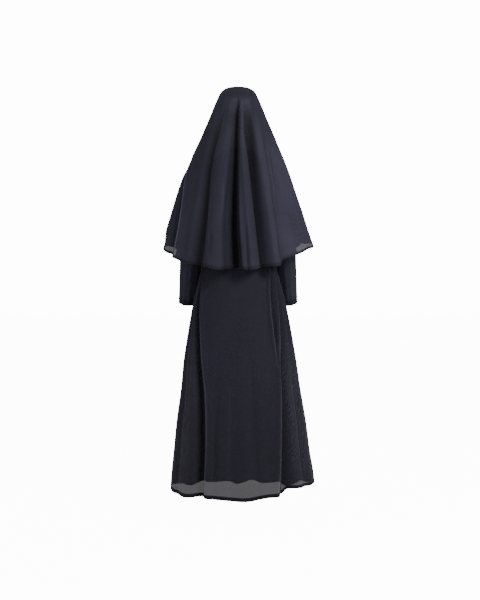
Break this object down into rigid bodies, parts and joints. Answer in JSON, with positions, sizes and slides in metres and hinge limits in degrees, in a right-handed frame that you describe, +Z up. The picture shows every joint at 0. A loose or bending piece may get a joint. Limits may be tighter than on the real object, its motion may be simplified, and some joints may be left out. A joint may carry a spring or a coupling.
{
  "type": "nun habit",
  "caption": "Long black A-line robe with straight sleeves and a round-cut veil gathered behind the crown, held in its worn shape with open neck, cuffs and hem.",
  "frame": {"origin": "base of the neck, midway between the shoulder seams, where the robe's weight rests on the wearer", "axes": "+Z up along the wearer's spine, the habit faces -Y with its back towards +Y, and the wearer's left is +X"},
  "size_m": [0.6096, 0.4449, 1.6315],
  "materials": {
    "robe_cloth": "matt black thin polyester with a bluish cast, slightly see-through where a single layer hangs free",
    "sleeve_cloth": "matt black thin polyester, as the robe",
    "binding_cloth": "doubled black polyester strip, stitched along both edges",
    "veil_cloth": "matt black thin polyester with a soft bluish sheen, slightly see-through at its lower corners",
    "band_cloth": "doubled black polyester strip with a fine line of edge stitching"
  },
  "bodies": {
    "root": {"robe_back": "robe_cloth", "robe_front": "robe_cloth", "sleeve_left": "sleeve_cloth", "sleeve_right": "sleeve_cloth", "neck_binding": "binding_cloth", "veil": "veil_cloth", "veil_face_band": "band_cloth"}
  },
  "joints": []
}
